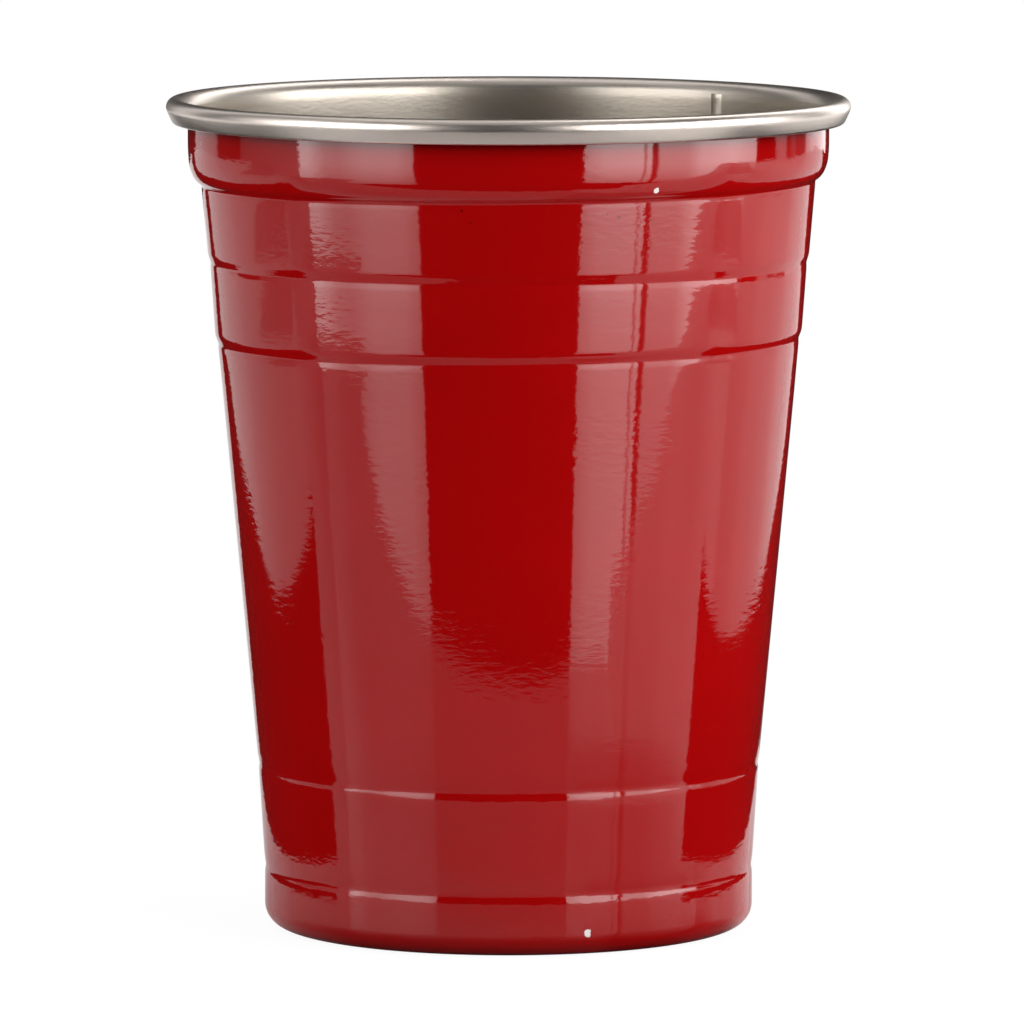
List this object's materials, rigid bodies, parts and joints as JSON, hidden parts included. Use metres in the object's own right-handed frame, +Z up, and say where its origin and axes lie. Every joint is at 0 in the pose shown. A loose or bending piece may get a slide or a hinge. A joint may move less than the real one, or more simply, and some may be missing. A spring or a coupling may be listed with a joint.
{
  "type": "steel party cup",
  "caption": "Single-wall steel tumbler shaped like a party cup, glossy enamel outside, bare steel inside, with a rolled rim and pressed rings.",
  "frame": {"origin": "centre of the flat ring that the cup stands on, at the height of the table", "axes": "+Z up along the cup's axis; -Y towards the viewer of the picture, +X to the viewer's right; the weld seam lies 48 degrees from +X towards +Y"},
  "size_m": [0.0948, 0.0948, 0.1155],
  "materials": {
    "red_enamel": "gloss",
    "bare_steel": "satin"
  },
  "bodies": {
    "root": {"cup": "red_enamel"}
  },
  "joints": []
}
